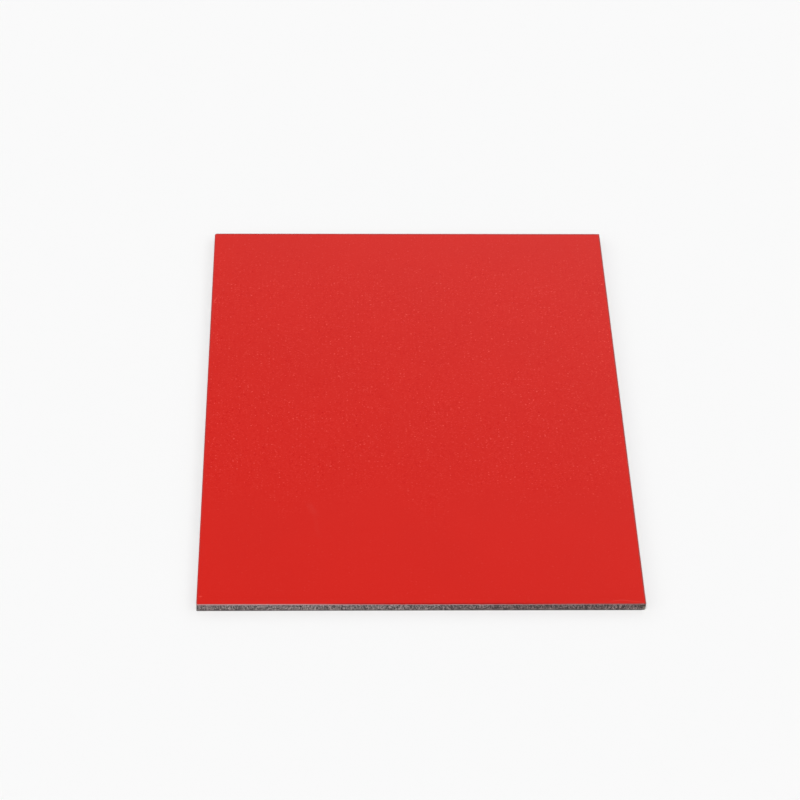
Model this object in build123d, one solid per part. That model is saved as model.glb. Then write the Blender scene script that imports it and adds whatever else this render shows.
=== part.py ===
"""Cut sample of aluminium composite panel: two aluminium sheets bonded to a plastic core.

Millimetres, +Z up towards the coated face. The origin is at the middle of the underside, X runs
across the panel and Y along it. The front cut edge, at -Y, is the one that shows the layers.
"""

import os
from math import radians, sin

from build123d import *

# Outline
panel_width = 210.0  # left to right
panel_length = 297.0  # front to back
corner_radius = 0.4  # the three crisp corners
blunt_corner_radius = 1.6  # the knocked corner, at the back on the left

# Layers, from the top down
face_sheet_thickness = 0.3
core_thickness = 3.4
back_sheet_thickness = 0.3

# Cut edges
roll_width = 0.34  # strip beside each cut where the shear drew the face sheet down
roll_angle = 25.0  # slope of that strip's underside at the cut, in degrees
back_edge_radius = 0.1  # deburred lower edge

# Worked out
core_bottom = back_sheet_thickness
core_top = core_bottom + core_thickness
panel_top = core_top + face_sheet_thickness
roll_radius = roll_width / sin(radians(roll_angle))


def outline_prism(bottom, top):
    """The panel's outline, upright from one height to another."""
    toward_front_right = Axis((0, 0, 0), (1, -1, 0))
    with BuildPart() as prism:
        with BuildSketch(Plane.XY.offset(bottom)) as outline:
            Rectangle(panel_width, panel_length)
            fillet(outline.vertices().sort_by(toward_front_right)[1:], corner_radius)
            fillet(outline.vertices().sort_by(toward_front_right)[0], blunt_corner_radius)
        extrude(amount=top - bottom)
    return prism.part


def rolled_block(top, radius):
    """A block with rounded top edges, so wide that the cuts cross the rounding at roll_width."""
    past_cut = radius - roll_width
    with BuildPart() as block:
        with BuildSketch(Plane.XY.offset(-radius)):
            Rectangle(panel_width + 2 * past_cut, panel_length + 2 * past_cut)
        extrude(amount=top + radius)
        fillet(block.faces().sort_by(Axis.Z)[-1].edges(), radius)
    return block.part


def make_face_sheet():
    """Coated aluminium sheet, drawn down at an even thickness along every cut."""
    outside = rolled_block(panel_top, roll_radius + face_sheet_thickness)
    underside = rolled_block(core_top, roll_radius)
    return (outline_prism(core_top - roll_radius, panel_top) & outside) - underside


def make_core():
    """Plastic core, whose top edge follows the drawn-down face sheet."""
    return outline_prism(core_bottom, core_top) & rolled_block(core_top, roll_radius)


def make_back_sheet():
    """Aluminium back sheet with its lower edge deburred."""
    sheet = outline_prism(0, back_sheet_thickness)
    lower_edge = sheet.faces().sort_by(Axis.Z)[0].edges()
    return fillet(lower_edge, back_edge_radius)


os.makedirs("parts", exist_ok=True)
export_step(make_face_sheet(), "parts/face_sheet.step")
export_step(make_core(), "parts/core.step")
export_step(make_back_sheet(), "parts/back_sheet.step")
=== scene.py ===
"""Looks of a cut sample of aluminium composite panel: red mica coating, bare cut edges, pale back.

Metres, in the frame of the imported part. The origin is at the middle of the underside, X runs across
the panel, Y from the front cut edge to the back one, and Z up to the coated face. Patterns in the
materials are scaled in millimetres, through one Mapping node.
"""

import logging
import math
from collections.abc import Callable, Mapping, Sequence
from dataclasses import dataclass
from enum import Enum

import bmesh
import bpy
from mathutils import Matrix, Vector


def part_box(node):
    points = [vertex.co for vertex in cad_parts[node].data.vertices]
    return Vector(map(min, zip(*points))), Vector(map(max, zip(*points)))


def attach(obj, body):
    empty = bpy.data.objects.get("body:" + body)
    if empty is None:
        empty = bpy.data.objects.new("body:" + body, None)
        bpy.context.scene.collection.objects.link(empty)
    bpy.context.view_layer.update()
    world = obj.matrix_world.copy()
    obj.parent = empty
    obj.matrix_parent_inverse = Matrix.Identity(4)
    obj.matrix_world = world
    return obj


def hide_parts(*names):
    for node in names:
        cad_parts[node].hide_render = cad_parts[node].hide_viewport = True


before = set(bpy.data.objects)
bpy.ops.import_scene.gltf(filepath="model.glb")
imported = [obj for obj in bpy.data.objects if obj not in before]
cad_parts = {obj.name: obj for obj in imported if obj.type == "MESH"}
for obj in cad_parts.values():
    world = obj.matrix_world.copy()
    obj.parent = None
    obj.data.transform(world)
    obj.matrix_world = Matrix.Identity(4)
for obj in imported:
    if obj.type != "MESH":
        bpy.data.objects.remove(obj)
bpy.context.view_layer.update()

log = logging.getLogger("composite_panel")

MM = 0.001
BODY = "root"
TOUCH = 1e-7  # how near to a line or plane a vertex counts as lying on it
WIDE = 1e-4  # square metres above which a face is one of the panel's two flat sides
SMOOTH_ANGLE = math.radians(32.0)  # edges that bend by more than this stay sharp
MIDDLE = (0.5, 0.5, 0.5)  # the middle of what a random colour can be
MIX_FIRST, MIX_SECOND, MIX_RESULT = 6, 7, 2  # a Mix node's colour sockets, whose names repeat

Colour = tuple[float, float, float]
Number = "Value | float"


def dimmed(colour: Colour, share: float) -> Colour:
    """A colour with only a share of its brightness left."""
    return tuple(share * part for part in colour)


class Mark(Enum):
    """What the operators of the modelling bench act on."""

    VERTEX = "VERT"
    EDGE = "EDGE"
    FACE = "FACE"


class Value:
    """A number socket. Python's operators on it add Math nodes."""

    def __init__(self, bench: "Bench", socket: bpy.types.NodeSocket) -> None:
        """Keeps the socket and the bench that its node lies on."""
        self.bench = bench
        self.socket = socket

    def __add__(self, other: Number) -> "Value":
        """The sum."""
        return self.bench.math("ADD", self, other)

    __radd__ = __add__

    def __sub__(self, other: Number) -> "Value":
        """The difference."""
        return self.bench.math("SUBTRACT", self, other)

    def __rsub__(self, other: Number) -> "Value":
        """The difference from a plain number."""
        return self.bench.math("SUBTRACT", other, self)

    def __mul__(self, other: Number) -> "Value":
        """The product."""
        return self.bench.math("MULTIPLY", self, other)

    __rmul__ = __mul__

    def __truediv__(self, other: Number) -> "Value":
        """The quotient."""
        return self.bench.math("DIVIDE", self, other)

    def __abs__(self) -> "Value":
        """The size without its sign."""
        return self.bench.math("ABSOLUTE", self)

    def least(self, other: Number) -> "Value":
        """The smaller of the two."""
        return self.bench.math("MINIMUM", self, other)

    def most(self, other: Number) -> "Value":
        """The larger of the two."""
        return self.bench.math("MAXIMUM", self, other)

    def fade(self, start: float, end: float) -> "Value":
        """Eases from 0 at start to 1 at end. A start above the end gives a mask that falls."""
        low, high = sorted((start, end))
        limits = (0.0, 1.0) if start < end else (1.0, 0.0)
        eased = self.bench.node(
            "ShaderNodeMapRange",
            {"interpolation_type": "SMOOTHSTEP"},
            {
                "Value": self,
                "From Min": low,
                "From Max": high,
                "To Min": limits[0],
                "To Max": limits[1],
            },
        )
        return Value(self.bench, eased.outputs["Result"])


Input = Value | bpy.types.NodeSocket | float | Sequence[float]


class Bench:
    """The node tree of one material or of the world."""

    def __init__(self, tree: bpy.types.NodeTree) -> None:
        """Clears the tree that the nodes go into."""
        self.tree = tree
        tree.nodes.clear()

    def node(
        self,
        kind: str,
        settings: Mapping[str, object] | None = None,
        inputs: Mapping[str | int, Input] | None = None,
    ) -> bpy.types.Node:
        """Adds a node.

        Args:
            kind: the node's type, such as ShaderNodeTexNoise.
            settings: what is set on the node itself, before its sockets.
            inputs: values or links, by the socket's name or number.

        Returns:
            The new node.
        """
        made = self.tree.nodes.new(kind)
        for name, setting in (settings or {}).items():
            setattr(made, name, setting)
        for name, value in (inputs or {}).items():
            socket = made.inputs[name]
            if isinstance(value, Value):
                value = value.socket
            if isinstance(value, bpy.types.NodeSocket):
                self.tree.links.new(value, socket)
            else:
                socket.default_value = value
        return made

    def math(self, operation: str, *numbers: Number) -> Value:
        """Adds a Math node on one, two or three numbers."""
        made = self.node("ShaderNodeMath", {"operation": operation}, dict(enumerate(numbers)))
        return Value(self, made.outputs[0])

    def vector(self, operation: str, *inputs: Input) -> bpy.types.NodeSocket:
        """Adds a Vector Math node and gives its vector."""
        made = self.node("ShaderNodeVectorMath", {"operation": operation}, dict(enumerate(inputs)))
        return made.outputs["Vector"]

    def scaled(self, vector: Input, factor: Number) -> bpy.types.NodeSocket:
        """Makes a vector longer or shorter."""
        made = self.node("ShaderNodeVectorMath", {"operation": "SCALE"}, {0: vector, "Scale": factor})
        return made.outputs["Vector"]

    def mix(self, share: Number, first: Input, second: Input) -> bpy.types.NodeSocket:
        """Mixes two colours: the first where share is 0 and the second where it is 1."""
        made = self.node(
            "ShaderNodeMix",
            {"data_type": "RGBA"},
            {"Factor": share, MIX_FIRST: self.opaque(first), MIX_SECOND: self.opaque(second)},
        )
        return made.outputs[MIX_RESULT]

    @staticmethod
    def opaque(colour: Input) -> Input:
        """Adds the alpha that a colour socket asks for to a plain colour."""
        return (*colour, 1.0) if isinstance(colour, tuple) else colour

    def parts(self, vector: bpy.types.NodeSocket) -> tuple[Value, Value, Value]:
        """Splits a vector into its three numbers."""
        made = self.node("ShaderNodeSeparateXYZ", None, {0: vector})
        return Value(self, made.outputs[0]), Value(self, made.outputs[1]), Value(self, made.outputs[2])

    def place_mm(self, stretch: Sequence[float] = (1.0, 1.0, 1.0)) -> bpy.types.NodeSocket:
        """Object coordinates in millimetres.

        Args:
            stretch: how many times longer than wide a pattern on them gets, along each axis.

        Returns:
            The vector to read a texture at.
        """
        where = self.node("ShaderNodeTexCoord").outputs["Object"]
        scale = [1 / (MM * times) for times in stretch]
        return self.node("ShaderNodeMapping", None, {"Vector": where, "Scale": scale}).outputs[0]

    def noise(
        self, place: bpy.types.NodeSocket, size: float, detail: float = 2.0, rough: float = 0.5
    ) -> Value:
        """Adds noise.

        Args:
            place: where to read it, in millimetres.
            size: size of its blotches, in millimetres.
            detail: how many finer layers it has.
            rough: how strong those are.

        Returns:
            A number about 0.5, mostly between 0.3 and 0.7.
        """
        made = self.node(
            "ShaderNodeTexNoise",
            None,
            {"Vector": place, "Scale": 1 / size, "Detail": detail, "Roughness": rough},
        )
        return Value(self, made.outputs[0])

    def shaken(self, place: bpy.types.NodeSocket, size: float, reach: float) -> bpy.types.NodeSocket:
        """Makes the edges of a pattern ragged.

        Args:
            place: where the pattern is read, in millimetres.
            size: size of the raggedness, in millimetres.
            reach: how far it moves a point, in millimetres.

        Returns:
            The vector to read the pattern at.
        """
        inputs = {"Vector": place, "Scale": 1 / size, "Detail": 3.0}
        shake = self.node("ShaderNodeTexNoise", None, inputs)
        offset = self.vector("SUBTRACT", shake.outputs["Color"], MIDDLE)
        return self.vector("ADD", place, self.scaled(offset, reach))

    def bump(self, height: Value, depth: float) -> bpy.types.NodeSocket:
        """Tilts the surface's normal along a height pattern.

        Args:
            height: the pattern, from 0 to 1.
            depth: how deep its whole range is, in metres.

        Returns:
            The normal.
        """
        made = self.node("ShaderNodeBump", None, {"Height": height, "Distance": depth, "Strength": 1.0})
        return made.outputs["Normal"]


class MaterialBench(Bench):
    """The node tree of one new material on the Principled shader."""

    def __init__(self, name: str) -> None:
        """Makes the material."""
        self.material = bpy.data.materials.new(name)
        self.material.use_nodes = True
        super().__init__(self.material.node_tree)

    def finish(self, inputs: Mapping[str, Input]) -> bpy.types.Material:
        """Adds the shader with these inputs and joins it to the output."""
        shader = self.node("ShaderNodeBsdfPrincipled", None, inputs)
        self.node("ShaderNodeOutputMaterial", None, {"Surface": shader.outputs[0]})
        return self.material


@dataclass(frozen=True)
class PanelSizes:
    """Sizes of the panel, in metres. Those without a value come from the frame."""

    width: float
    length: float
    back_top: float  # upper face of the back sheet
    core_top: float  # upper face of the core
    roll_low: float  # lower edge of the face sheet at the cut
    top: float
    roll_width: float = 0.34 * MM
    crisp_radius: float = 0.4 * MM
    blunt_radius: float = 1.6 * MM
    back_edge_radius: float = 0.1 * MM

    @classmethod
    def from_frame(cls) -> "PanelSizes":
        """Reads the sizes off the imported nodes' boxes."""
        face_low, face_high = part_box("face_sheet")
        core_low, core_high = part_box("core")
        return cls(
            width=face_high.x - face_low.x,
            length=face_high.y - face_low.y,
            back_top=core_low.z,
            core_top=core_high.z,
            roll_low=face_low.z,
            top=face_high.z,
        )

    @property
    def under_radius(self) -> float:
        """Radius of the drawn-down strip's underside, from its width and its drop."""
        drop = self.core_top - self.roll_low
        return (self.roll_width**2 + drop**2) / (2 * drop)

    @property
    def over_radius(self) -> float:
        """Radius of the drawn-down strip's upper side."""
        return self.under_radius + self.top - self.core_top

    def drop(self, radius: float) -> float:
        """How far the drawn-down strip falls by the cut."""
        return radius - math.sqrt(radius**2 - self.roll_width**2)

    def roll_steps(self, radius: float, count: int = 6) -> list[tuple[float, float]]:
        """Steps in and up that trace the drawn-down strip from the cut to the flat.

        Args:
            radius: the strip's radius.
            count: how many steps.

        Returns:
            How far in and how far up each step goes.
        """
        slope = math.asin(self.roll_width / radius)
        angles = [slope * (1 - step / count) for step in range(count + 1)]
        return [
            (radius * (math.sin(a) - math.sin(b)), radius * (math.cos(b) - math.cos(a)))
            for a, b in zip(angles, angles[1:])
        ]


class Workpiece:
    """A new piece, opened in edit mode and shaped there with Blender's mesh operators."""

    def __init__(self, name: str) -> None:
        """Makes an empty mesh object at the origin and opens it."""
        bpy.ops.object.select_all(action="DESELECT")
        self.object = bpy.data.objects.new(name, bpy.data.meshes.new(name))
        bpy.context.collection.objects.link(self.object)
        bpy.context.view_layer.objects.active = self.object
        self.object.select_set(True)
        bpy.ops.object.mode_set(mode="EDIT")

    def pick(self, kind: Mark, test: Callable[[bmesh.types.BMVert], bool]) -> None:
        """Selects the vertices, edges or faces that pass a test, and nothing else.

        Args:
            kind: what to select.
            test: takes a vertex, an edge or a face of the open mesh.
        """
        bpy.ops.mesh.select_mode(type=kind.value)
        bpy.ops.mesh.select_all(action="DESELECT")
        cage = bmesh.from_edit_mesh(self.object.data)
        rows = {Mark.VERTEX: cage.verts, Mark.EDGE: cage.edges, Mark.FACE: cage.faces}[kind]
        for part in rows:
            if test(part):
                part.select_set(True)
        bmesh.update_edit_mesh(self.object.data)

    def divide(self, test: Callable[[bmesh.types.BMEdge], bool], stages: Sequence[int]) -> None:
        """Divides edges evenly, in stages, because one call makes at most a hundred cuts.

        Args:
            test: says which edges, before each stage.
            stages: how many pieces each edge becomes at each stage.
        """
        for count in stages:
            self.pick(Mark.EDGE, test)
            bpy.ops.mesh.subdivide(number_cuts=count - 1)

    def lay_outline(
        self, sizes: PanelSizes, height: float, across: Sequence[int], along: Sequence[int]
    ) -> None:
        """Lays the panel's outline as one flat face with divided sides, facing up.

        Args:
            sizes: the panel's sizes.
            height: the face's height.
            across: stages that divide the front and back sides.
            along: stages that divide the left and right sides.
        """
        middle = (0.0, 0.0, height)
        bpy.ops.mesh.primitive_plane_add(size=1.0, location=middle)
        bpy.ops.transform.resize(value=(sizes.width, sizes.length, 1.0), center_override=middle)
        self.pick(Mark.VERTEX, lambda v: v.co.x < 0 < v.co.y)
        bpy.ops.mesh.bevel(offset=sizes.blunt_radius, segments=10, affect="VERTICES")
        self.pick(Mark.VERTEX, lambda v: not v.co.x < 0 < v.co.y)
        bpy.ops.mesh.bevel(offset=sizes.crisp_radius, segments=5, affect="VERTICES")
        self.pick(Mark.FACE, lambda face: True)
        bpy.ops.mesh.delete(type="ONLY_FACE")
        half_width, half_length = sizes.width / 2 - TOUCH, sizes.length / 2 - TOUCH
        self.divide(lambda e: all(abs(v.co.y) > half_length for v in e.verts), across)
        self.divide(lambda e: all(abs(v.co.x) > half_width for v in e.verts), along)
        self.pick(Mark.EDGE, lambda edge: True)
        bpy.ops.mesh.edge_face_add()
        self.pick(Mark.FACE, lambda face: True)
        if bmesh.from_edit_mesh(self.object.data).faces[:][0].normal.z < 0:
            bpy.ops.mesh.flip_normals()

    def raise_selected(self, height: float) -> None:
        """Extrudes the selected face straight up."""
        bpy.ops.mesh.extrude_region_move(TRANSFORM_OT_translate={"value": (0.0, 0.0, height)})

    def step_in(self, inward: float, outward: float) -> None:
        """Insets the selected face and moves the inner one along its normal."""
        bpy.ops.mesh.inset(thickness=inward, depth=outward, use_even_offset=True)

    def knock(self, knock: "Knock") -> None:
        """Presses a corner's edge inwards, most at its tip, below a height."""

        def at_tip(vertex: bmesh.types.BMVert) -> bool:
            """Whether a vertex lies on the corner's round, below the height."""
            aside = math.hypot(vertex.co.x - knock.tip[0], vertex.co.y - knock.tip[1])
            return aside < knock.tip_size and vertex.co.z < knock.height

        self.pick(Mark.VERTEX, at_tip)
        bpy.ops.transform.translate(
            value=knock.push,
            use_proportional_edit=True,
            proportional_edit_falloff="SMOOTH",
            proportional_size=knock.reach,
        )

    def pick_underside(self, height: float) -> None:
        """Turns all faces outwards and selects the flat one that faces down at a height."""
        self.pick(Mark.FACE, lambda face: True)
        bpy.ops.mesh.normals_make_consistent(inside=False)
        self.pick(Mark.FACE, lambda face: all(abs(v.co.z - height) < TOUCH for v in face.verts))

    def close(self) -> None:
        """Turns all faces outwards and leaves edit mode."""
        self.pick(Mark.FACE, lambda face: True)
        bpy.ops.mesh.normals_make_consistent(inside=False)
        bpy.ops.object.mode_set(mode="OBJECT")

    def group(self, name: str, test: Callable[[Vector], float]) -> str:
        """Makes a vertex group.

        Args:
            name: the group's name.
            test: gives a vertex's weight from its place.

        Returns:
            The name.
        """
        made = self.object.vertex_groups.new(name=name)
        for vertex in self.object.data.vertices:
            weight = test(vertex.co)
            if weight > 0:
                made.add([vertex.index], weight, "REPLACE")
        return made.name

    def wear(self, relief: "Relief", group: str) -> None:
        """Sinks a group of vertices by a pattern and applies it.

        Args:
            relief: the pattern and its depth.
            group: the group's name.
        """
        ruler = bpy.data.objects.new("pattern_ruler", None)
        ruler.scale = relief.stretch
        bpy.context.collection.objects.link(ruler)
        bpy.context.view_layer.update()
        sink = self.object.modifiers.new("wear", "DISPLACE")
        sink.texture = relief.texture()
        sink.texture_coords = "OBJECT"
        sink.texture_coords_object = ruler
        sink.direction = relief.direction
        sink.mid_level = relief.highest
        sink.strength = relief.depth
        sink.vertex_group = group
        bpy.ops.object.modifier_apply(modifier=sink.name)
        bpy.data.objects.remove(ruler)

    def dress(
        self, materials: Sequence[bpy.types.Material], choose: Callable[[bpy.types.MeshPolygon], int]
    ) -> None:
        """Gives each face its material, smooths the round stretches and keeps the wide faces flat.

        Args:
            materials: the materials, by number.
            choose: gives a face's number.
        """
        for material in materials:
            self.object.data.materials.append(material)
        bpy.ops.object.shade_smooth_by_angle(angle=SMOOTH_ANGLE)
        for face in self.object.data.polygons:
            face.material_index = choose(face)
            face.use_smooth = face.area < WIDE

    def hand_over(self, node: str) -> bpy.types.Object:
        """Puts the piece on its body in place of its plain node.

        Args:
            node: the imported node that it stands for.

        Returns:
            The finished piece.
        """
        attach(self.object, BODY)
        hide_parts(node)
        return self.object


@dataclass(frozen=True)
class Knock:
    """A blow that pressed the lower front corner on the right inwards."""

    tip: tuple[float, float]
    tip_size: float = 0.45 * MM
    height: float = 0.5 * MM
    reach: float = 1.9 * MM
    push: tuple[float, float, float] = (-0.36 * MM, 0.2 * MM, 0.0)


@dataclass(frozen=True)
class Relief:
    """A pattern of clouds that a modifier sinks a surface by."""

    size: float
    depth: float
    stretch: tuple[float, float, float] = (1.0, 1.0, 1.0)
    layers: int = 2
    contrast: float = 1.4
    direction: str = "NORMAL"

    @property
    def highest(self) -> float:
        """The most that the pattern can reach, so that sinking from there never swells the surface."""
        return 0.5 + self.contrast / 2

    def texture(self) -> bpy.types.Texture:
        """Makes the pattern."""
        clouds = bpy.data.textures.new("wear_pattern", "CLOUDS")
        clouds.noise_scale = self.size
        clouds.noise_depth = self.layers
        clouds.contrast = self.contrast
        return clouds


@dataclass(frozen=True)
class Flecks:
    """One size of mica flake. Some flakes turn their bright side up and some their dark one."""

    spacing: float  # millimetres between flakes
    radius: float  # millimetres, for a flake of middling size
    bright: float  # how strongly the brightest one shows
    dark: float  # how strongly the darkest one shows

    def scatter(self, bench: Bench) -> tuple[Value, Value, bpy.types.NodeSocket]:
        """Scatters the flakes over the face.

        Args:
            bench: the material's node tree.

        Returns:
            A mask of the bright flakes, one of the dark flakes, and the way each one leans.
        """
        torn = bench.shaken(bench.place_mm(), self.radius * 1.5, self.radius * 2.4)
        cells = bench.node(
            "ShaderNodeTexVoronoi",
            {"voronoi_dimensions": "2D"},
            {"Vector": torn, "Scale": 1 / self.spacing},
        )
        luck, girth, _ = bench.parts(cells.outputs["Color"])
        reach = Value(bench, cells.outputs["Distance"]) * (self.spacing / self.radius)
        spot = (reach / (girth + 0.5)).fade(1.0, 0.45)
        bright = luck.fade(0.5, 1.0)
        dark = luck.fade(0.45, 0.0)
        lean = bench.vector("SUBTRACT", cells.outputs["Color"], MIDDLE)
        return spot * bright * bright * self.bright, spot * dark * dark * self.dark, lean


@dataclass(frozen=True)
class Streak:
    """A straight mark on the face, in millimetres. Its ends and sides fade out."""

    middle: tuple[float, float]  # across its run and along it
    lean: float  # how far it goes aside for each millimetre along
    width: tuple[float, float]  # distances from its line, where it ends and where it is full
    length: tuple[float, float]  # the same, from its middle
    waver: float = 0.0  # how much the noise moves its sides
    fray: float = 0.0  # how much the noise moves its ends

    def mask(self, across: Value, along: Value, soft: Value) -> Value:
        """Draws the mark.

        Args:
            across: place across its run, in millimetres.
            along: place along its run, in millimetres.
            soft: noise in millimetres, about 0.

        Returns:
            Its mask.
        """
        run = along - self.middle[1]
        aside = abs(across - self.middle[0] - run * self.lean)
        sides = (aside + soft * self.waver).fade(*self.width)
        ends = (abs(run) + soft * self.fray).fade(*self.length)
        return sides * ends


@dataclass(frozen=True)
class MicaCoating:
    """Red stoved coating with mica flecks under a satin clear coat."""

    red: Colour = (0.681, 0.0112, 0.0048)
    shade: Colour = (0.59, 0.0, 0.0)
    glint: Colour = (0.92, 0.095, 0.075)
    # painted shade for the strip beside the cuts: deep red along the front's middle, browner all round
    front_lip_shade: Colour = (0.38, 0.004, 0.003)
    lip_shade_brown: Colour = (0.28, 0.055, 0.05)
    metal: Colour = (0.6, 0.57, 0.56)
    fine: Flecks = Flecks(0.62, 0.3, 0.26, 0.8)
    coarse: Flecks = Flecks(2.1, 0.36, 0.6, 1.0)
    clear_weight: float = 0.8
    clear_roughness: float = 0.22
    clear_ior: float = 1.42
    smudge_head: Streak = Streak((-51.3, -80.8), -0.4, (2.8, 0.3), (6.2, 2.0), 0.2)
    smudge_tail: Streak = Streak((-49.1, -92.0), -0.11, (1.8, 0.0), (12.0, 4.0), 0.1)
    scuff: Streak = Streak((-2.5, 17.0), 0.74, (3.5, 0.0), (11.0, 3.0), 0.3, 1.0)
    left_nick: Streak = Streak((-103.0, 88.2), 0.37, (0.5, 0.2), (3.2, 1.2))

    def fleck_strength(self, bench: Bench, y: Value) -> Value:
        """How much the flecks show along the panel: little in the front third and at the very back.

        Args:
            bench: the material's node tree.
            y: place along the panel, in millimetres.

        Returns:
            A number from 0 to 1.
        """
        patchy = bench.noise(bench.place_mm(), 45.0, 1.0) * 60.0 - 30.0
        along = (y + patchy).fade(-95.0, -50.0) * (y.fade(150.0, 95.0) * 0.56 + 0.24) + 0.16
        clustered = bench.noise(bench.place_mm(), 7.0, 3.0, 0.6).fade(0.38, 0.6)
        return along * (clustered * 0.6 + 0.7)

    def chips(self, bench: Bench, rim: Value) -> Value:
        """Where the coating is off the lip: chipped at the front on the right, rubbed thin on the left.

        Args:
            bench: the material's node tree.
            rim: distance from the nearest cut, in millimetres.

        Returns:
            A mask.
        """
        x, y, _ = bench.parts(bench.place_mm())
        at_front = y.fade(-147.0, -148.0)
        knocked = x.fade(78.0, 98.0) * at_front
        thinned = rim.fade(0.4, 0.16) * x.fade(-10.0, -70.0) * at_front
        ragged = bench.noise(bench.place_mm(), 1.3, 3.0, 0.6)
        chipped = (ragged + knocked * 0.13 - rim * 0.5).fade(0.66, 0.72)
        return chipped.most(thinned * (ragged * 0.6 + 0.25))

    def lip(self, bench: Bench, rim: Value) -> tuple[Value, Value]:
        """The strip beside the cuts, with painted shade: darker and browner all round, and deeper red
        along the front's middle.

        Args:
            bench: the material's node tree.
            rim: distance from the nearest cut, in millimetres.

        Returns:
            A mask of each.
        """
        x, y, _ = bench.parts(bench.place_mm())
        patchy = bench.noise(bench.place_mm(), 24.0, 2.0).fade(0.35, 0.6)
        at_front = y.fade(-147.0, -147.8)
        at_back = y.fade(147.0, 148.0)
        at_right = x.fade(103.5, 104.5)
        front_right_end = x.fade(97.0, 104.0) * at_front
        stronger = (at_back.most(at_right) * 0.24).most(at_front * 0.12).most(front_right_end * 0.45)
        uneven = rim - at_back * 0.3 + bench.noise(bench.place_mm(), 1.1, 5.0, 0.65) * 0.9 - 0.45
        # painted shade all round the rolled strip, strongest at the front's right end, then at the back
        # and on the right
        rim_shade = uneven.fade(0.85, 0.4) * (patchy * 0.2 + 0.3 + stronger)
        # painted shade in deep red along the middle of the front lip
        deep = uneven.fade(1.05, 0.7) * at_front * (abs(x - 8.0) + patchy * 12.0).fade(88.0, 40.0)
        return rim_shade, deep

    def marks(self, bench: Bench) -> tuple[Value, Value, Value]:
        """The light smudge at the front, the dark scuff in the middle and the nicks near the edges.

        Args:
            bench: the material's node tree.

        Returns:
            A mask of each.
        """
        x, y, _ = bench.parts(bench.place_mm())
        soft = bench.noise(bench.place_mm(), 9.0, 3.0) * 12.0 - 6.0
        smudge = self.smudge_head.mask(x, y, soft).most(self.smudge_tail.mask(x, y, soft) * 0.5)
        scuff = self.scuff.mask(y, x, soft)
        left_nick = self.left_nick.mask(x, y, soft)
        ragged = bench.noise(bench.place_mm(), 0.4, 3.0, 0.6) * 4.0 - 2.0
        corner_nick = (abs(y + 142.8) * 1.6 + abs(x + 103.2) + ragged).fade(1.3, 0.5)
        drag_line = abs(y + 145.9 + abs(x - 93.5) * 0.14 + soft * 0.05)
        drag = drag_line.fade(0.5, 0.15) * abs(x - 96.0).fade(9.0, 5.0)
        return smudge, scuff, left_nick.most(corner_nick * 1.5).most(drag * 0.6)

    def material(self, sizes: PanelSizes) -> bpy.types.Material:
        """Makes the coating.

        Args:
            sizes: the panel's sizes, for the strip beside the cuts.

        Returns:
            The material.
        """
        bench = MaterialBench("red_mica_coating")
        place = bench.place_mm()
        x, y, _ = bench.parts(place)
        rim = (sizes.width / 2 / MM - abs(x)).least(sizes.length / 2 / MM - abs(y))

        shows = self.fleck_strength(bench, y)
        fine_bright, fine_dark, _ = self.fine.scatter(bench)
        coarse_bright, coarse_dark, lean = self.coarse.scatter(bench)
        smudge, scuff, nick = self.marks(bench)
        chipped = self.chips(bench, rim)
        rim_shade, deep = self.lip(bench, rim)

        mottle = bench.noise(place, 60.0, 2.0)
        ground = bench.mix(mottle.fade(0.3, 0.7), self.red, dimmed(self.red, 0.98))
        pinholes = (fine_dark + coarse_dark) * shows
        grained = bench.mix(pinholes, ground, self.shade)
        flecked = bench.mix((fine_bright + coarse_bright) * shows, grained, self.glint)
        smudged = bench.mix(smudge * 0.008, flecked, (0.75, 0.7, 0.68))
        scuffed = bench.mix(scuff * 0.1, smudged, self.shade)
        nicked = bench.mix(nick * 0.3, scuffed, self.glint)
        # painted shade on the strip beside the cuts
        front_lip_shaded = bench.mix(deep * 0.95, nicked, self.front_lip_shade)
        rim_shaded = bench.mix(rim_shade * (1 - deep), front_lip_shaded, self.lip_shade_brown)
        base = bench.mix(chipped, rim_shaded, self.metal)

        skin = bench.bump(bench.noise(place, 0.9, 2.0), 0.0012 * MM)
        tilted = bench.vector("ADD", skin, bench.scaled(lean, coarse_bright * 0.6))
        return bench.finish(
            {
                "Base Color": base,
                "Metallic": (coarse_bright * 0.3).most(chipped * 0.9),
                "Roughness": 0.45,
                "Specular IOR Level": 0.0,
                "Normal": bench.vector("NORMALIZE", tilted),
                "Coat Weight": (1 - chipped.most(pinholes * 0.45)) * self.clear_weight,
                "Coat Roughness": self.clear_roughness,
                "Coat IOR": self.clear_ior,
            }
        )


@dataclass(frozen=True)
class BareAluminium:
    """Sheet aluminium where the shear went through it, with patches of a second colour over it: stuff
    dragged over it by the blade on the face sheet, painted shade on the back sheet.
    """

    name: str
    metal: Colour
    smear_and_shade: Colour
    shade_share: float  # painted shade: what is left of the brightness at the right-hand end

    def material(self) -> bpy.types.Material:
        """Makes the bare metal, scored up and down by the blade."""
        bench = MaterialBench(self.name)
        x, _, _ = bench.parts(bench.place_mm())
        scores = bench.noise(bench.place_mm((1.0, 1.0, 12.0)), 0.2, 3.0, 0.65)
        patches = bench.noise(bench.place_mm(), 1.1, 3.0, 0.6)
        cover = patches.fade(0.4, 0.66) * 0.7
        # painted shade: the cut edge darkens toward the right
        shaded_right = bench.mix(x.fade(10.0, 100.0), self.metal, dimmed(self.metal, self.shade_share))
        scored = bench.mix(scores.fade(0.45, 0.75) * 0.5, shaded_right, dimmed(self.metal, 0.4))
        tone = bench.mix(cover, scored, self.smear_and_shade)
        return bench.finish(
            {
                "Base Color": tone,
                "Metallic": 1 - cover,
                "Roughness": 0.3 + scores * 0.35,
                "Normal": bench.bump(scores, 0.02 * MM),
            }
        )


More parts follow.
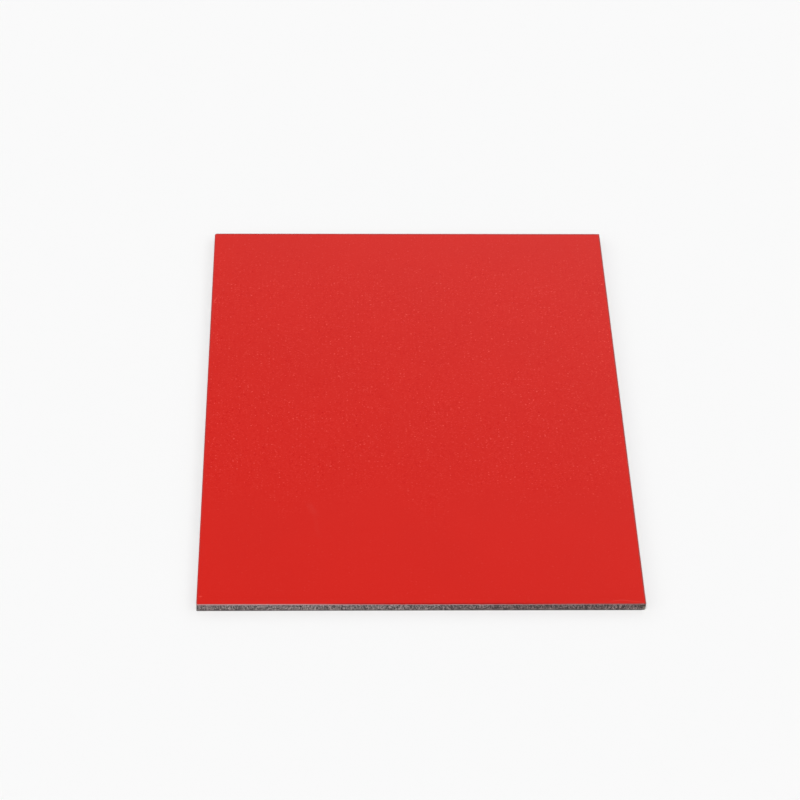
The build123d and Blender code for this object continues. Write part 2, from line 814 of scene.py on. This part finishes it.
@dataclass(frozen=True)
class FilledPlastic:
    """Mineral-filled polyethylene where it was cut through."""

    grey: Colour = (0.142, 0.11, 0.108)
    # painted shade: the colours that the plastic and its pale grains turn to on the right
    shaded_brown: Colour = (0.072, 0.045, 0.044)
    light: Colour = (0.485, 0.398, 0.388)
    pale_in_shade: Colour = (0.42, 0.312, 0.3)
    dark: Colour = (0.018, 0.014, 0.015)
    singed: Colour = (0.05, 0.028, 0.016)
    crushed: Colour = (0.3, 0.25, 0.2)

    def corner(self, bench: Bench, body: Input) -> bpy.types.NodeSocket:
        """Adds the knocked front corner on the right: dark at the top and crushed pale lower down.

        Args:
            bench: the material's node tree.
            body: the plastic's colour.

        Returns:
            The colour.
        """
        x, y, z = bench.parts(bench.place_mm())
        near = y.fade(-147.0, -148.0)
        darkened = bench.mix(x.fade(101.0, 102.8) * near * z.fade(1.8, 2.6) * 0.85, body, self.singed)
        return bench.mix(x.fade(103.2, 104.2) * near * z.fade(2.6, 2.0) * 0.75, darkened, self.crushed)

    def material(self) -> bpy.types.Material:
        """Makes the cut plastic: grey, with painted shade that makes it darker and browner on the
        right, and with grains, pores and strokes.
        """
        bench = MaterialBench("filled_core_plastic")
        place = bench.place_mm()
        x, _, _ = bench.parts(place)
        drift = bench.noise(place, 14.0, 2.0) * 40.0 - 20.0
        torn = bench.shaken(bench.place_mm((1.0, 1.0, 3.2)), 0.09, 0.16)
        crystals = bench.node(
            "ShaderNodeTexVoronoi",
            {"normalize": True},
            {"Vector": torn, "Scale": 1 / 0.23, "Detail": 1.0, "Roughness": 0.5, "Lacunarity": 2.3},
        )
        luck, _, _ = bench.parts(crystals.outputs["Color"])
        strokes = bench.noise(bench.place_mm((1.0, 1.0, 6.5)), 0.3, 2.0, 0.6)
        grains = bench.noise(place, 0.25, 3.0, 0.65)
        tooth = bench.noise(place, 0.11, 2.0, 0.6)
        # painted shade: darker and browner toward the right
        toward_right = (x + drift).fade(-20.0, 50.0)
        body = bench.mix(toward_right, self.grey, self.shaded_brown)
        pale = bench.mix(toward_right, self.light, self.pale_in_shade)
        scored = bench.mix(strokes.fade(0.5, 0.68) * 0.45, body, pale)
        grained = bench.mix(luck.fade(0.61, 0.77) + grains.fade(0.56, 0.7) * 0.35, scored, pale)
        pits = (luck.fade(0.47, 0.32) * 0.95).most(grains.fade(0.44, 0.34) * 0.65)
        pitted = bench.mix(pits, grained, self.dark)
        toothed = bench.mix(tooth.fade(0.52, 0.36) * 0.3, pitted, self.dark)
        return bench.finish(
            {
                "Base Color": self.corner(bench, toothed),
                "Roughness": 0.55 + grains * 0.35,
                "Specular IOR Level": 0.35,
                "Normal": bench.bump(strokes + grains, 0.04 * MM),
            }
        )


@dataclass(frozen=True)
class ServiceCoating:
    """Thin pale coating on the back, rolled on along the coil."""

    pale: Colour = (0.5, 0.51, 0.5)
    lined: Colour = (0.36, 0.37, 0.37)

    def material(self) -> bpy.types.Material:
        """Makes the coating with its roller lines and a slightly uneven gloss."""
        bench = MaterialBench("pale_service_coating")
        roller = bench.noise(bench.place_mm((1.0, 90.0, 1.0)), 0.7, 3.0, 0.6)
        gloss = bench.noise(bench.place_mm(), 70.0, 2.0)
        return bench.finish(
            {
                "Base Color": bench.mix(roller.fade(0.35, 0.7) * 0.16, self.pale, self.lined),
                "Roughness": 0.38 + gloss * 0.2,
                "Normal": bench.bump(roller, 0.003 * MM),
            }
        )


@dataclass
class FaceSheet:
    """The coated sheet, drawn down along the cuts, with its bare cut edge."""

    sizes: PanelSizes
    coating: MicaCoating = MicaCoating()
    # painted shade: the last number leaves 0.58 of the cut edge's brightness at the right-hand end
    bare: BareAluminium = BareAluminium("cut_aluminium", (0.55, 0.42, 0.415), (0.42, 0.1, 0.09), 0.58)
    across: tuple[int, ...] = (20, 21)
    along: tuple[int, ...] = (22, 27)

    def build(self) -> bpy.types.Object:
        """Models the sheet and dresses it.

        Returns:
            The finished piece.
        """
        sizes = self.sizes
        rim_top = sizes.top - sizes.drop(sizes.over_radius)
        sheet = Workpiece("coated_face_sheet")
        sheet.lay_outline(sizes, sizes.roll_low, self.across, self.along)
        sheet.raise_selected((rim_top - sizes.roll_low) / 2)
        sheet.raise_selected((rim_top - sizes.roll_low) / 2)
        for inward, upward in sizes.roll_steps(sizes.over_radius):
            sheet.step_in(inward, upward)
        self.hollow_underside(sheet)
        sheet.close()
        self.roughen(sheet)
        sheet.dress(
            [self.coating.material(sizes), self.bare.material()],
            lambda face: 0 if face.normal.z > 0.5 else 1,
        )
        return sheet.hand_over("face_sheet")

    def hollow_underside(self, sheet: Workpiece) -> None:
        """Steps the underside in and up, so that the sheet keeps its thickness."""
        sheet.pick_underside(self.sizes.roll_low)
        for inward, upward in self.sizes.roll_steps(self.sizes.under_radius):
            sheet.step_in(inward, -upward)

    def roughen(self, sheet: Workpiece) -> None:
        """Makes the cut line slightly uneven, as the shear leaves it."""
        half_width, half_length = self.sizes.width / 2, self.sizes.length / 2

        def nearness(place: Vector) -> float:
            """1 at the cut, falling to 0 where the flat face starts."""
            inward = min(half_width - abs(place.x), half_length - abs(place.y))
            return max(0.0, 1 - inward / self.sizes.roll_width)

        rim = sheet.group("rim", nearness)
        sheet.wear(Relief(1.1 * MM, 0.035 * MM, direction="Z"), rim)
        sheet.wear(Relief(0.5 * MM, 0.03 * MM), rim)


@dataclass
class Core:
    """The plastic core, of which the four cut sides show."""

    sizes: PanelSizes
    plastic: FilledPlastic = FilledPlastic()
    across: tuple[int, ...] = (25, 25)
    along: tuple[int, ...] = (30, 30)
    rows: int = 11

    def build(self) -> bpy.types.Object:
        """Models the core and dresses it.

        Returns:
            The finished piece.
        """
        sizes = self.sizes
        core = Workpiece("filled_plastic_core")
        core.lay_outline(sizes, sizes.back_top, self.across, self.along)
        for _ in range(self.rows):
            core.raise_selected((sizes.roll_low - sizes.back_top) / self.rows)
        for inward, upward in sizes.roll_steps(sizes.under_radius, 3):
            core.step_in(inward, upward)
        core.knock(Knock((sizes.width / 2, -sizes.length / 2)))
        core.close()
        self.roughen(core)
        core.dress([self.plastic.material()], lambda face: 0)
        return core.hand_over("core")

    def roughen(self, core: Workpiece) -> None:
        """Scores and pits the cut sides, always inwards."""
        half_width, half_length = self.sizes.width / 2, self.sizes.length / 2

        def on_side(place: Vector) -> float:
            """1 on the cut sides and 0 on the bonded faces."""
            inward = min(half_width - abs(place.x), half_length - abs(place.y))
            return 1.0 if inward < self.sizes.crisp_radius / 2 else 0.0

        sides = core.group("sides", on_side)
        core.wear(Relief(0.45 * MM, 0.06 * MM, stretch=(1.0, 1.0, 6.0)), sides)
        core.wear(Relief(0.5 * MM, 0.06 * MM, layers=3, contrast=2.0), sides)


@dataclass
class BackSheet:
    """The sheet underneath, with its pale coating and bare cut edge."""

    sizes: PanelSizes
    coating: ServiceCoating = ServiceCoating()
    # painted shade: the back sheet's cut edge is coloured dark all over, with darker patches, standing
    # for the shade next to the floor
    bare: BareAluminium = BareAluminium(
        "shaded_cut_aluminium", (0.22, 0.205, 0.2), (0.08, 0.07, 0.068), 0.6
    )
    across: tuple[int, ...] = (20, 21)
    along: tuple[int, ...] = (22, 27)

    def build(self) -> bpy.types.Object:
        """Models the sheet and dresses it.

        Returns:
            The finished piece.
        """
        sizes = self.sizes
        sheet = Workpiece("service_coated_back_sheet")
        sheet.lay_outline(sizes, 0.0, self.across, self.along)
        sheet.raise_selected(sizes.back_top)
        sheet.pick(Mark.EDGE, lambda edge: all(v.co.z < TOUCH for v in edge.verts))
        bpy.ops.mesh.bevel(offset=sizes.back_edge_radius, segments=3, affect="EDGES")
        sheet.knock(Knock((sizes.width / 2, -sizes.length / 2)))
        sheet.close()
        sheet.dress(
            [self.coating.material(), self.bare.material()],
            lambda face: 0 if face.normal.z < -0.9 else 1,
        )
        return sheet.hand_over("back_sheet")


@dataclass(frozen=True)
class Studio:
    """Pale floor, soft even light and the camera at the photograph's angle."""

    floor_colour: Colour = (0.95, 0.95, 0.95)
    floor_size: float = 60.0
    floor_gap: float = 0.02 * MM  # so that the floor and the underside don't share a plane
    key_level: float = 0.695
    key_spread: float = math.radians(24.0)
    key_tilt: tuple[float, float] = (math.radians(20.0), math.radians(-4.0))
    camera_place: tuple[float, float, float] = (-0.04498, -1.13743, 0.92139)
    look_down: float = math.radians(38.786)
    turn: float = math.radians(-1.907)
    tip: float = math.radians(1.179)
    lens: float = 129.96
    sensor: float = 36.0

    def lay_floor(self) -> None:
        """Lays the plain floor just under the panel."""
        bpy.ops.object.select_all(action="DESELECT")
        bpy.ops.mesh.primitive_plane_add(size=self.floor_size, location=(0.0, 0.0, -self.floor_gap))
        floor = bpy.context.object
        floor.name = "floor"
        bench = MaterialBench("pale_floor")
        material = bench.finish(
            {"Base Color": (*self.floor_colour, 1.0), "Roughness": 1.0, "Specular IOR Level": 0.0}
        )
        floor.data.materials.append(material)

    def hang_key(self) -> None:
        """Hangs one broad lamp, high up in front and a little to the left."""
        lamp = bpy.data.lights.new("key", "SUN")
        lamp.energy = self.key_level * math.pi
        lamp.angle = self.key_spread
        key = bpy.data.objects.new("key", lamp)
        key.rotation_euler = (*self.key_tilt, 0.0)
        bpy.context.collection.objects.link(key)

    def paint_world(self) -> None:
        """Surrounds the panel with grey walls, a white band of light above them and a dark ceiling.

        Heights are sines of the angle above the horizon. Walls and band reach higher on the right.
        """
        world = bpy.data.worlds.new("studio")
        world.use_nodes = True
        bpy.context.scene.world = world
        bench = Bench(world.node_tree)
        toward = bench.node("ShaderNodeTexCoord").outputs["Generated"]
        x, _, z = bench.parts(toward)
        height = z - x.least(0.2).most(-0.2) * 0.38
        walls = height.fade(0.28, 0.46) * 0.68 + 0.32
        horizon = z.fade(0.1, 0.03)
        band = height.fade(0.64, 0.5) * 0.74 + height.fade(0.9, 0.68) * 0.26
        level = (band * walls).most(horizon)
        glow = bench.mix(level, (0.06, 0.06, 0.06), (1.0, 1.0, 1.0))
        background = bench.node("ShaderNodeBackground", None, {"Color": glow, "Strength": 1.0})
        bench.node("ShaderNodeOutputWorld", None, {"Surface": background.outputs[0]})

    def set_camera(self) -> None:
        """Sets the camera where the photograph was taken from."""
        lens = bpy.data.cameras.new("camera")
        lens.lens = self.lens
        lens.sensor_width = self.sensor
        camera = bpy.data.objects.new("camera", lens)
        facing = (
            Matrix.Rotation(self.turn, 4, "Z")
            @ Matrix.Rotation(math.radians(90.0) - self.look_down, 4, "X")
            @ Matrix.Rotation(self.tip, 4, "Z")
        )
        camera.matrix_world = Matrix.Translation(self.camera_place) @ facing
        bpy.context.collection.objects.link(camera)
        bpy.context.scene.camera = camera

    def build(self) -> None:
        """Sets up the whole studio."""
        self.set_camera()
        self.lay_floor()
        self.hang_key()
        self.paint_world()
        bpy.context.scene.view_settings.view_transform = "Standard"


def main() -> None:
    """Builds the panel and the studio."""
    logging.basicConfig(level=logging.INFO, format="%(message)s")
    sizes = PanelSizes.from_frame()
    Studio().build()
    for part in (BackSheet(sizes), Core(sizes), FaceSheet(sizes)):
        piece = part.build()
        log.info("%s: %d faces", piece.name, len(piece.data.polygons))


if __name__ == "__main__":
    main()
